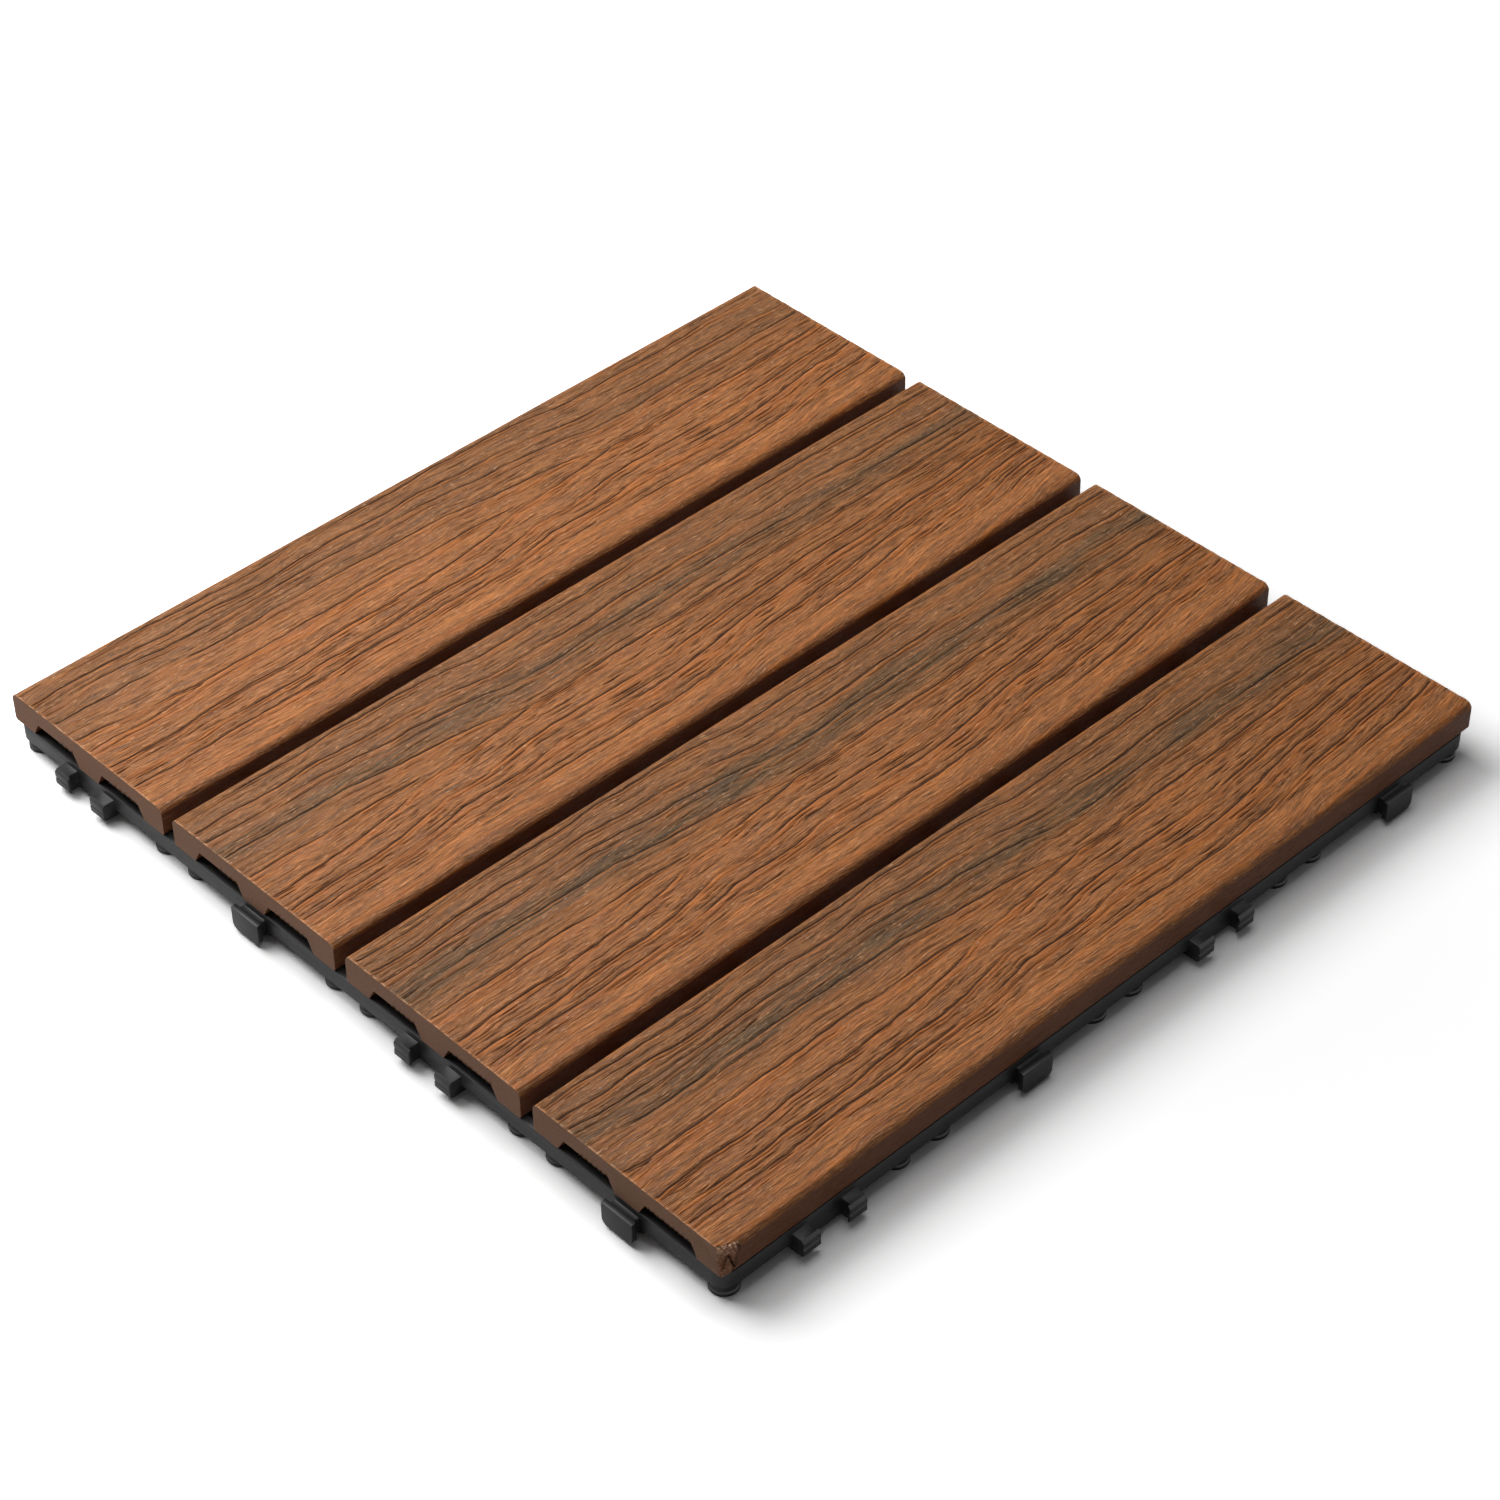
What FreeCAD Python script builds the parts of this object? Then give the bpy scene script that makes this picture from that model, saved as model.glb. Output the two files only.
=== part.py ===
"""Interlocking deck tile: four composite slats screwed to one moulded plastic base.

Millimetres, +Z up. The origin is at the middle of the tile, on the ground that the feet stand on.
The slats run along Y and lie side by side along X. The tile is square, and its base looks the
same after each quarter turn, so a neighbour clips on at any side.
"""
import math
import os

import FreeCAD
import Part

Vector = FreeCAD.Vector

# Slats: one extruded profile with two channels open below
SLAT_COUNT = 4
SLAT_WIDTH = 71.25
SLAT_GAP = 5.0
SLAT_HEIGHT = 10.0
SLAT_EDGE_RADIUS = 2.2
SLAT_HEEL_CHAMFER = 0.7
CHANNEL_DEPTH = 4.5
CHANNEL_ROOF_WIDTH = 17.0
CHANNEL_MOUTH_WIDTH = 21.8
CHANNEL_OFFSET = 15.4

# Base: an open grid of ribs inside a rim
BASE_HEIGHT = 10.0
RIM_HEIGHT = 5.5
RIM_WALL = 2.4
RIB_WALL = 2.0

# Feet along the edge, under the slats' long edges, with few sides because there are many
FOOT_INSET = 4.925
FOOT_SIDES = 12
FOOT_NECK_RADIUS = 3.7
FOOT_SOLE_RADIUS = 4.2
FOOT_SOLE_HEIGHT = 1.4

# Legs: crossed ribs that reach the ground, at the middle of the modules without screws
LEG_SPAN = 12.0

# Screw bosses at the middle of the modules at the slats' ends
BOSS_WIDTH = 10.8
BOSS_HEIGHT = 3.0
HEAD_PLAY = 0.5
SHANK_PLAY = 0.2

# Screws: pan head with a cross recess
SCREW_RADIUS = 2.0
SCREW_BITE = 6.5
SCREW_HEAD_RADIUS = 3.6
SCREW_HEAD_HEIGHT = 2.2
RECESS_SPAN = 3.6
RECESS_SLOT = 0.9
RECESS_DEPTH = 1.3
PILOT_SPARE = 0.4

# Hooks on each side of the base: a wide head on a narrower neck
HOOK_REACH = 3.7
HEAD_WIDTH = 11.6
HEAD_THICKNESS = 1.7
HEAD_TOP = 8.8
HEAD_BOTTOM = 1.0
HEAD_CORNER_RADIUS = 2.2
NECK_WIDTH = 9.0
NECK_TOP = 8.0
NECK_BOTTOM = 2.6

# Sockets on each side of the base: two posts that let a neck in and hold its head
POST_REACH = 4.2
POST_WIDTH = 6.2
POST_TOP = 8.0
POST_BOTTOM = 2.0
POST_CHAMFER = 0.8
GROOVE_DEPTH = 0.45
GROOVE_HEIGHT = 0.7
NECK_SIDE_PLAY = 0.75
HEAD_SIDE_PLAY = 0.3
HOOK_PLAY = 0.25

# Broken corner at the front end of the last slat
CHIP_ALONG_END = 2.8
CHIP_ALONG_SIDE = 6.5
CHIP_FOOT_SHARE = 0.3
CRACK_PLACE = 2.7
CRACK_WIDTH = 3.4
CRACK_DEPTH = 2.4
CRACK_DROP = 2.0
CRACK_HEIGHT = 6.0

# Sizes that follow from those above
MODULE = SLAT_WIDTH + SLAT_GAP
TILE_SIDE = SLAT_COUNT * SLAT_WIDTH + (SLAT_COUNT - 1) * SLAT_GAP
HALF_SIDE = TILE_SIDE / 2
DECK_TOP = BASE_HEIGHT + SLAT_HEIGHT
RIM_BOTTOM = BASE_HEIGHT - RIM_HEIGHT
MODULE_CENTRES = [(index - (SLAT_COUNT - 1) / 2) * MODULE for index in range(SLAT_COUNT)]
FOOT_REACH = SLAT_WIDTH / 2 - FOOT_INSET
FOOT_LINES = [centre + way * FOOT_REACH for centre in MODULE_CENTRES for way in (-1, 1)]
RIB_LINES = sorted(MODULE_CENTRES + FOOT_LINES[1:-1])
THROAT = HOOK_REACH - HEAD_THICKNESS
CATCH = SLAT_GAP - THROAT + HOOK_PLAY
SLOT_WIDTH = NECK_WIDTH + 2 * NECK_SIDE_PLAY
POCKET_WIDTH = HEAD_WIDTH + 2 * HEAD_SIDE_PLAY
SOCKET_WIDTH = SLOT_WIDTH + 2 * POST_WIDTH
SCREW_SEAT = BASE_HEIGHT - BOSS_HEIGHT
SCREW_ROWS = (MODULE_CENTRES[0], MODULE_CENTRES[-1])
SCREW_PLACES = [Vector(x, y, 0) for x in MODULE_CENTRES for y in SCREW_ROWS]
LEG_PLACES = [Vector(x, y, 0) for x in MODULE_CENTRES for y in MODULE_CENTRES[1:-1]]


def outline(points):
    """Closed wire through points."""
    return Part.makePolygon(points + points[:1])


def block(x_range, y_range, z_range):
    """Box given by its range along each axis."""
    low, high = (Vector(*ends) for ends in zip(x_range, y_range, z_range))
    size = high - low
    return Part.makeBox(size.x, size.y, size.z, low)


def edges_where(shape, test):
    """Edges whose two ends both pass a test."""
    return [edge for edge in shape.Edges if all(test(vertex.Point) for vertex in edge.Vertexes)]


def slat_blank():
    """Slat at the middle of its module, standing on the base, with both channels."""
    half = SLAT_WIDTH / 2
    low, high = BASE_HEIGHT, DECK_TOP
    roof = BASE_HEIGHT + CHANNEL_DEPTH
    front = -HALF_SIDE
    points = [Vector(-half, front, low)]
    for centre in (-CHANNEL_OFFSET, CHANNEL_OFFSET):
        points += [
            Vector(centre - CHANNEL_MOUTH_WIDTH / 2, front, low),
            Vector(centre - CHANNEL_ROOF_WIDTH / 2, front, roof),
            Vector(centre + CHANNEL_ROOF_WIDTH / 2, front, roof),
            Vector(centre + CHANNEL_MOUTH_WIDTH / 2, front, low),
        ]
    points += [Vector(half, front, low), Vector(half, front, high), Vector(-half, front, high)]
    blank = Part.Face(outline(points)).extrude(Vector(0, TILE_SIDE, 0))

    def side_edges(height):
        level = edges_where(blank, lambda p: abs(p.z - height) < 1e-6 and abs(abs(p.x) - half) < 1e-6)
        return [edge for edge in level if abs(edge.Length - TILE_SIDE) < 1e-6]

    blank = blank.makeFillet(SLAT_EDGE_RADIUS, side_edges(high))
    return blank.makeChamfer(SLAT_HEEL_CHAMFER, side_edges(low))


def pilot_holes():
    """Holes that the screws cut in one slat, from below."""
    return [
        Part.makeCylinder(SCREW_RADIUS, SCREW_BITE + PILOT_SPARE, Vector(0, y, BASE_HEIGHT))
        for y in SCREW_ROWS
    ]


def broken_corner():
    """What is missing at the front corner of the last slat, and the crack inside the break."""
    x, y, z = HALF_SIDE, -HALF_SIDE, DECK_TOP
    spare = 1.0

    def corner_piece(share, height):
        return outline([Vector(x - CHIP_ALONG_END * share, y, height),
                        Vector(x - CHIP_ALONG_END * share, y - spare, height),
                        Vector(x + spare, y - spare, height),
                        Vector(x + spare, y + CHIP_ALONG_SIDE * share, height),
                        Vector(x, y + CHIP_ALONG_SIDE * share, height)])

    def crack_piece(width, depth, height):
        middle = y + CRACK_PLACE
        return outline([Vector(x + spare, middle - width / 2, height),
                        Vector(x + spare, middle + width / 2, height),
                        Vector(x - depth, middle, height)])

    chip = Part.makeLoft([corner_piece(CHIP_FOOT_SHARE, BASE_HEIGHT), corner_piece(1, z)], True, True)
    crack_top = z - CRACK_DROP
    crack = Part.makeLoft([
        crack_piece(CRACK_WIDTH, CRACK_DEPTH / 3, crack_top - CRACK_HEIGHT),
        crack_piece(CRACK_WIDTH / 3, CRACK_DEPTH, crack_top),
    ], True, True)
    return [chip, crack]


def slats():
    """The four slats, first to last along X."""
    blank = slat_blank().cut(pilot_holes())
    row = [blank.translated(Vector(x, 0, 0)) for x in MODULE_CENTRES]
    row[-1] = row[-1].cut(broken_corner())
    return row


def rib_grid():
    """Rim with rounded corners and a grid of ribs inside it."""
    plate = block((-HALF_SIDE, HALF_SIDE), (-HALF_SIDE, HALF_SIDE), (RIM_BOTTOM, BASE_HEIGHT))
    corners = edges_where(plate, lambda p: abs(abs(p.x) - HALF_SIDE) < 1e-6)
    upright = [edge for edge in corners if abs(edge.Length - RIM_HEIGHT) < 1e-6]
    plate = plate.makeFillet(FOOT_INSET, upright)
    inner = HALF_SIDE - RIM_WALL
    starts = [-inner] + [line + RIB_WALL / 2 for line in RIB_LINES]
    ends = [line - RIB_WALL / 2 for line in RIB_LINES] + [inner]
    spans = list(zip(starts, ends))
    cells = [block(across, along, (RIM_BOTTOM, BASE_HEIGHT)) for across in spans for along in spans]
    return plate.cut(Part.makeCompound(cells))


def prism(sides, radius, height):
    """Upright prism with flat sides towards X and Y."""
    corners = [Vector(radius, 0, 0)] * sides
    for index in range(sides):
        angle = math.pi * (2 * index + 1) / sides
        corners[index] = Vector(radius * math.cos(angle), radius * math.sin(angle), 0)
    return Part.Face(outline(corners)).extrude(Vector(0, 0, height))


def feet():
    """Feet along the edge of the tile: a neck on a wider sole."""
    neck = prism(FOOT_SIDES, FOOT_NECK_RADIUS, RIM_BOTTOM)
    foot = neck.fuse(prism(FOOT_SIDES, FOOT_SOLE_RADIUS, FOOT_SOLE_HEIGHT))
    ends = (FOOT_LINES[0], FOOT_LINES[-1])
    places = [Vector(x, y, 0) for x in FOOT_LINES for y in FOOT_LINES if x in ends or y in ends]
    return [foot.translated(place) for place in places]


def legs():
    """Legs under the middle of the tile, each a cross of two ribs."""
    reach, wall = LEG_SPAN / 2, RIB_WALL / 2
    along = block((-wall, wall), (-reach, reach), (0, BASE_HEIGHT))
    across = block((-reach, reach), (-wall, wall), (0, BASE_HEIGHT))
    leg = along.fuse(across)
    return [leg.translated(place) for place in LEG_PLACES]


def bosses():
    """Bosses that the screws pull against, still solid."""
    half = BOSS_WIDTH / 2
    boss = block((-half, half), (-half, half), (SCREW_SEAT, BASE_HEIGHT))
    return [boss.translated(place) for place in SCREW_PLACES]


def screw_room():
    """What the screws need below and through the bosses: a square well for the head and a hole."""
    half = SCREW_HEAD_RADIUS + HEAD_PLAY
    well = block((-half, half), (-half, half), (0, SCREW_SEAT))
    hole = Part.makeCylinder(SCREW_RADIUS + SHANK_PLAY, BASE_HEIGHT)
    return [room.translated(place) for place in SCREW_PLACES for room in (well, hole)]


def hook():
    """Hook on the front side, centred on X = 0: neck, head and the skirt of the rim behind them."""
    face = -HALF_SIDE
    front = face - HOOK_REACH
    neck = block((-NECK_WIDTH / 2, NECK_WIDTH / 2), (front, face + RIM_WALL), (NECK_BOTTOM, NECK_TOP))
    head = block((-HEAD_WIDTH / 2, HEAD_WIDTH / 2), (front, front + HEAD_THICKNESS), (HEAD_BOTTOM, HEAD_TOP))
    lower = edges_where(head, lambda p: abs(p.z - HEAD_BOTTOM) < 1e-6)
    ends = [edge for edge in lower if abs(edge.Length - HEAD_THICKNESS) < 1e-6]
    head = head.makeFillet(HEAD_CORNER_RADIUS, ends)
    skirt = block((-HEAD_WIDTH / 2, HEAD_WIDTH / 2), (face, face + RIM_WALL), (NECK_BOTTOM, BASE_HEIGHT))
    return neck.fuse([head, skirt])


def socket():
    """Socket on the front side, centred on X = 0: two grooved posts and the skirt between them."""
    face = -HALF_SIDE
    front = face - POST_REACH
    half = SOCKET_WIDTH / 2
    groove = (POST_TOP + POST_BOTTOM) / 2
    back = face + RIM_WALL
    side_view = [
        Vector(-half, back, POST_BOTTOM),
        Vector(-half, front + POST_CHAMFER, POST_BOTTOM),
        Vector(-half, front, POST_BOTTOM + POST_CHAMFER),
        Vector(-half, front, groove - GROOVE_HEIGHT / 2),
        Vector(-half, front + GROOVE_DEPTH, groove),
        Vector(-half, front, groove + GROOVE_HEIGHT / 2),
        Vector(-half, front, POST_TOP - POST_CHAMFER),
        Vector(-half, front + POST_CHAMFER, POST_TOP),
        Vector(-half, back, POST_TOP),
    ]
    posts = Part.Face(outline(side_view)).extrude(Vector(SOCKET_WIDTH, 0, 0))
    through = (POST_BOTTOM - 1, POST_TOP + 1)
    slot = block((-SLOT_WIDTH / 2, SLOT_WIDTH / 2), (front - 1, face), through)
    pocket = block((-POCKET_WIDTH / 2, POCKET_WIDTH / 2), (face - CATCH, face), through)
    return posts.cut([slot, pocket])


def connectors():
    """Connectors of all sides. Walking round the tile, each side has a socket, a hook and so on."""
    side = []
    for index, x in enumerate(MODULE_CENTRES):
        kind = hook() if index % 2 else socket()
        side.append(kind.translated(Vector(x, 0, 0)))
    return [part.rotated(Vector(0, 0, 0), Vector(0, 0, 1), 90 * turn) for turn in range(4) for part in side]


def base():
    """The moulded base, one solid."""
    solid = rib_grid().fuse(feet() + legs() + bosses() + connectors())
    return solid.cut(screw_room()).removeSplitter()


def screw():
    """One screw, pointing up, with its head against the boss."""
    head = Part.makeCylinder(SCREW_HEAD_RADIUS, SCREW_HEAD_HEIGHT, Vector(0, 0, SCREW_SEAT - SCREW_HEAD_HEIGHT))
    shank = Part.makeCylinder(SCREW_RADIUS, BOSS_HEIGHT + SCREW_BITE, Vector(0, 0, SCREW_SEAT))
    depth = (SCREW_SEAT - SCREW_HEAD_HEIGHT, SCREW_SEAT - SCREW_HEAD_HEIGHT + RECESS_DEPTH)
    long_half, short_half = RECESS_SPAN / 2, RECESS_SLOT / 2
    recess = [
        block((-long_half, long_half), (-short_half, short_half), depth),
        block((-short_half, short_half), (-long_half, long_half), depth),
    ]
    return head.fuse(shank).cut(recess).removeSplitter()


def screws():
    """All screws as separate solids in one group."""
    one = screw()
    return Part.makeCompound([one.translated(place) for place in SCREW_PLACES])


def write(name, shape):
    """Check one node and save it."""
    if not shape.isValid():
        raise ValueError(name + " is not a valid shape")
    shape.exportStep("parts/" + name + ".step")
    print(name, len(shape.Solids), "solids", round(shape.Volume / 1000, 2), "cm3")


os.makedirs("parts", exist_ok=True)
write("base_grid", base())
for number, slat in enumerate(slats(), 1):
    write("slat_" + str(number), slat)
write("slat_screws", screws())
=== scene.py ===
# %% [markdown]
# # Interlocking deck tile
# A square of decking, 300 mm each way: four slats of wood plastic composite, screwed to a black
# moulded base that clips to its neighbours. The CAD model gives every piece its size and place.
# This lesson adds what CAD leaves out: the embossed wood grain, the crumbled break of one corner,
# the soft edges of the moulding, its round feet, and the finish of each material.

# %% Load the CAD model
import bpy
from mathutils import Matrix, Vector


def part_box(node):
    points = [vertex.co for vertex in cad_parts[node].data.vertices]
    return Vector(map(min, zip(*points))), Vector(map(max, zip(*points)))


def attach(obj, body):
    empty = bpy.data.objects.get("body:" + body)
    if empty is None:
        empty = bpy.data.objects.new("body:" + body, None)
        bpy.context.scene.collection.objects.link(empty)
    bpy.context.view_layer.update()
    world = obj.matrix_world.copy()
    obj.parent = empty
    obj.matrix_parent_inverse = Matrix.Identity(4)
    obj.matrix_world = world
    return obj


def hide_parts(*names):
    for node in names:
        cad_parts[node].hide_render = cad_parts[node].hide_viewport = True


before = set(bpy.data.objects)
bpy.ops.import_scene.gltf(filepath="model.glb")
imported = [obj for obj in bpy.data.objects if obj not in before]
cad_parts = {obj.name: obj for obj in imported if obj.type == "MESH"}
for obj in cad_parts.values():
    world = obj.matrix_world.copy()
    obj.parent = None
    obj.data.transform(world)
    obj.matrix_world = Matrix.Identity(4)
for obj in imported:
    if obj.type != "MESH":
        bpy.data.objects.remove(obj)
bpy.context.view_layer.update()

import math

import bmesh
import bpy
from mathutils import Matrix, Vector, noise

MM = 0.001
SLATS = ["slat_1", "slat_2", "slat_3", "slat_4"]

# %% [markdown]
# ## Helpers for nodes
# Node trees are long to write by hand, so one function adds a node, sets its properties and fills
# its inputs, by name from a dictionary or in order from a list. An input can be a number, a
# colour, or another node, whose first output is linked. Colours are written as sRGB hex values,
# as in a paint program, and turned to linear light. Most patterns on this tile are noise that is
# stretched along the grain, so a second function makes noise whose patches have a size each way.

# %% Helpers for colours, nodes and noise
MATH, VECTOR_MATH = "ShaderNodeMath", "ShaderNodeVectorMath"
MAP_RANGE, MIX = "ShaderNodeMapRange", "ShaderNodeMix"
COMBINE, SEPARATE = "ShaderNodeCombineXYZ", "ShaderNodeSeparateXYZ"
SMOOTH = {"interpolation_type": "SMOOTHSTEP"}
COLOUR = {"data_type": "RGBA"}


def linear(hex_colour):
    """Linear RGBA of an sRGB colour such as #A06040."""
    channels = [int(hex_colour[start:start + 2], 16) / 255 for start in (1, 3, 5)]
    return [c / 12.92 if c <= 0.04045 else ((c + 0.055) / 1.055) ** 2.4 for c in channels] + [1.0]


def add(tree, kind, inputs=(), **settings):
    """Add a node of a kind, set its properties, then set or link its inputs by name or in order."""
    made = tree.nodes.new(kind)
    for name, value in settings.items():
        setattr(made, name, value)
    for name, value in inputs.items() if isinstance(inputs, dict) else enumerate(inputs):
        if isinstance(name, int):
            socket = made.inputs[name]
        else:
            socket = next(s for s in made.inputs if s.name == name and s.enabled)
        if isinstance(value, bpy.types.Node):
            value = next(s for s in value.outputs if s.enabled)
        if isinstance(value, bpy.types.NodeSocket):
            tree.links.new(value, socket)
        else:
            socket.default_value = value
    return made


def patches(tree, spot, sizes, detail, roughness=0.5):
    """Soft noise from 0 to 1 whose patches have a size each way, in the units of the spot."""
    scaled = add(tree, VECTOR_MATH, [spot, [1 / size for size in sizes]], operation="MULTIPLY")
    return add(tree, "ShaderNodeTexNoise", {
        "Vector": scaled, "Scale": 1.0, "Detail": detail, "Roughness": roughness})


# %% [markdown]
# ## Helpers for pieces
# Every piece starts as a mesh that is put in the scene, and ends as a plain mesh with no modifier
# left, because the finished model is kept as meshes. A Geometry Nodes tree gets named inputs, so
# that one tree can make several pieces. Its inputs are set by identifier, as Blender stores them.

# %% Helpers for pieces, trees and materials
def in_scene(name, data):
    """New object that is linked to the scene."""
    made = bpy.data.objects.new(name, data)
    bpy.context.collection.objects.link(made)
    return made


def carry_out(piece):
    """Turn a piece and its modifiers into a plain mesh."""
    depsgraph = bpy.context.evaluated_depsgraph_get()
    depsgraph.update()
    piece.data = bpy.data.meshes.new_from_object(
        piece.evaluated_get(depsgraph), preserve_all_data_layers=True, depsgraph=depsgraph)
    piece.modifiers.clear()


def geometry_tree(name, inputs):
    """Geometry Nodes tree, the identifiers of its named inputs, and their sockets inside."""
    tree = bpy.data.node_groups.new(name, "GeometryNodeTree")
    identifiers = {
        input_name: tree.interface.new_socket(
            name=input_name, in_out="INPUT", socket_type="NodeSocket" + input_kind).identifier
        for input_name, input_kind in inputs.items()
    }
    tree.interface.new_socket(name="Geometry", in_out="OUTPUT", socket_type="NodeSocketGeometry")
    group = tree.nodes.new("NodeGroupInput")
    return tree, identifiers, {socket.name: socket for socket in group.outputs if socket.name}


def run_tree(piece, tree, identifiers, values):
    """Run a tree on a piece and keep the result as its mesh."""
    modifier = piece.modifiers.new(tree.name, "NODES")
    modifier.node_group = tree
    for name, value in values.items():
        modifier[identifiers[name]] = value
    carry_out(piece)


def new_material(name):
    """Material with an empty node tree, ready for its shader."""
    material = bpy.data.materials.new(name)
    material.use_nodes = True
    material.node_tree.nodes.clear()
    return material


# %% [markdown]
# ## Camera
# The photograph was taken with a long lens from above the front right corner. A camera can be
# placed by eye, but this one's place, angle and lens were solved from the corners of the four
# slats, so that a render can be laid over the photograph. The camera turns about the upright
# axis first, then tips down, and last rolls by half a degree.

# %% Camera at the photograph's viewing angle
CAMERA_PLACE = Vector((0.599468, -0.568681, 0.725208))
CAMERA_AZIMUTH = math.radians(46.309)
CAMERA_ELEVATION = math.radians(41.286)
CAMERA_ROLL = math.radians(-0.451)
SENSOR_WIDTH = 36
FOCAL_LENGTH = 89.785

camera_data = bpy.data.cameras.new("camera")
camera_data.sensor_width = SENSOR_WIDTH
camera_data.lens = FOCAL_LENGTH
camera = in_scene("camera", camera_data)
camera.matrix_world = (
    Matrix.Translation(CAMERA_PLACE)
    @ Matrix.Rotation(CAMERA_AZIMUTH, 4, "Z")
    @ Matrix.Rotation(math.pi / 2 - CAMERA_ELEVATION, 4, "X")
    @ Matrix.Rotation(CAMERA_ROLL, 4, "Z")
)
bpy.context.scene.camera = camera
print("camera", tuple(round(v, 3) for v in camera.location), camera_data.lens)

# %% [markdown]
# ## Section of a slat
# A slat is extruded: one section with rounded top edges, a small chamfer at each heel and two
# channels below, pushed out at any length. The CAD slat could be divided finely instead, but
# then its sides would be as heavy as its top. So the section is drawn again from the slat's box,
# with a point every quarter of a millimetre where the grain goes and few points elsewhere.

# %% Section of a slat
EDGE_RADIUS = 2.2 * MM
HEEL_CHAMFER = 0.7 * MM
CHANNEL_DEPTH = 4.5 * MM
CHANNEL_ROOF = 17.0 * MM
CHANNEL_MOUTH = 21.8 * MM
CHANNEL_OFFSET = 15.4 * MM
ROUNDING_STEP = math.radians(11)
GRAIN_STEP = 0.24 * MM
SIDE_STEP = 0.8 * MM
ROW_STEP = 1.25 * MM


def spread(start, end, step):
    """Numbers from start up to but not including end, about a step apart."""
    count = max(1, round(abs(end - start) / step))
    return [start + (end - start) * index / count for index in range(count)]


def slat_section(low, high):
    """Closed section (x, z) of a slat whose box runs from low to high, over the top first."""
    x0, x1, z0, z1 = low.x, high.x, low.z, high.z
    middle = (x0 + x1) / 2
    points = []
    for centre, start in ((x0 + EDGE_RADIUS, math.pi), (x1 - EDGE_RADIUS, math.pi / 2)):
        for angle in spread(start, start - math.pi / 2, ROUNDING_STEP):
            x = centre + EDGE_RADIUS * math.cos(angle)
            points.append((x, z1 - EDGE_RADIUS + EDGE_RADIUS * math.sin(angle)))
        if start == math.pi:
            points += [(x, z1) for x in spread(centre, x1 - EDGE_RADIUS, GRAIN_STEP)]
    points += [(x1, z) for z in spread(z1 - EDGE_RADIUS, z0 + HEEL_CHAMFER, SIDE_STEP)]
    points += [(x1, z0 + HEEL_CHAMFER), (x1 - HEEL_CHAMFER, z0)]
    for centre in (middle + CHANNEL_OFFSET, middle - CHANNEL_OFFSET):
        points += [
            (centre + CHANNEL_MOUTH / 2, z0), (centre + CHANNEL_ROOF / 2, z0 + CHANNEL_DEPTH),
            (centre - CHANNEL_ROOF / 2, z0 + CHANNEL_DEPTH), (centre - CHANNEL_MOUTH / 2, z0),
        ]
    points += [(x0 + HEEL_CHAMFER, z0)]
    points += [(x0, z) for z in spread(z0 + HEEL_CHAMFER, z1 - EDGE_RADIUS, SIDE_STEP)]
    return points


print("section of", len(slat_section(*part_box("slat_1"))), "points")

# %% [markdown]
# ## Embossed grain as geometry
# A heated roller presses a wood pattern into the tops of the slats. The pattern copies plain sawn
# timber: each growth ring starts at a thin dark line, is smooth at first and fibrous later, and
# some rings begin at a narrow tip where the saw cut their top off. A bump map would do for a flat
# look, but real grooves catch the light at the ends and the edges, too. So Geometry Nodes sweep
# the section along the slat and press the pattern into its top. The tree also stores the pattern
# as attributes, so that the colour follows the relief exactly. Inside the tree lengths are in
# millimetres: across is the distance from the slat's left edge, and along is the place on the
# roller, which starts elsewhere on each slat.

# %% Start the tree and sweep the section
EMBOSS_INPUTS = {
    "Section": "Geometry", "Front": "Float", "Back": "Float", "Rows": "Int", "Left": "Float",
    "Roller Start": "Float", "Ring Density": "Float", "Groove Width": "Float",
    "Groove Depth": "Float", "Streak Place": "Float", "Streak Width": "Float",
    "Streak Strength": "Float", "Seed": "Float",
    "Top Finish": "Material", "Sawn Finish": "Material",
}
emboss, emboss_ids, given = geometry_tree("embossed_slat", EMBOSS_INPUTS)
front_end = add(emboss, COMBINE, {"Y": given["Front"]})
back_end = add(emboss, COMBINE, {"Y": given["Back"]})
path = add(emboss, "GeometryNodeCurvePrimitiveLine", {"Start": front_end, "End": back_end})
path = add(emboss, "GeometryNodeResampleCurve", {"Curve": path, "Count": given["Rows"]})
section_curve = add(emboss, "GeometryNodeMeshToCurve", {"Mesh": given["Section"]})
blank = add(emboss, "GeometryNodeCurveToMesh", {
    "Curve": path, "Profile Curve": section_curve, "Fill Caps": True})

place = add(emboss, SEPARATE, [add(emboss, "GeometryNodeInputPosition")])
across = add(emboss, MATH, [place.outputs["X"], given["Left"]], operation="SUBTRACT")
across = add(emboss, MATH, [across, 1 / MM], operation="MULTIPLY")
along = add(emboss, MATH, [place.outputs["Y"], given["Roller Start"]], operation="SUBTRACT")
along = add(emboss, MATH, [along, 1 / MM], operation="MULTIPLY")
on_roller = add(emboss, COMBINE, [across, along])
on_slat = add(emboss, COMBINE, [across, along, given["Seed"]])

# %% [markdown]
# ## Lanes of the grain
# A lane is the line that a fibre follows. Straight lanes would look printed, so three sizes of
# noise make them wander, and towards the back those on the right lean in from the edge. A tip
# then opens a wedge between two lanes: lanes beside it are pushed outwards, less so near the
# edges, and one more ring fits inside the wedge.

# %% Lanes and tips
# Each wander has a patch size across and along and a reach, in millimetres
WANDERS = [(60, 90, 7.0), (14, 24, 3.0), (4, 6, 0.9)]
LEAN, LEAN_START, LEAN_ACROSS = 0.13, 46.0, (22.0, 56.0)
# Each tip has its place across and along and the width of its wedge
TIPS = [(35.0, -163.0, 7.0), (36.6, -43.0, 11.0), (32.6, 0.0, 14.0)]
TIP_ROUNDING = 25.0
SPREAD_WIDTH = 36.0
NARROWEST_WEDGE = 0.001

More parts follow.
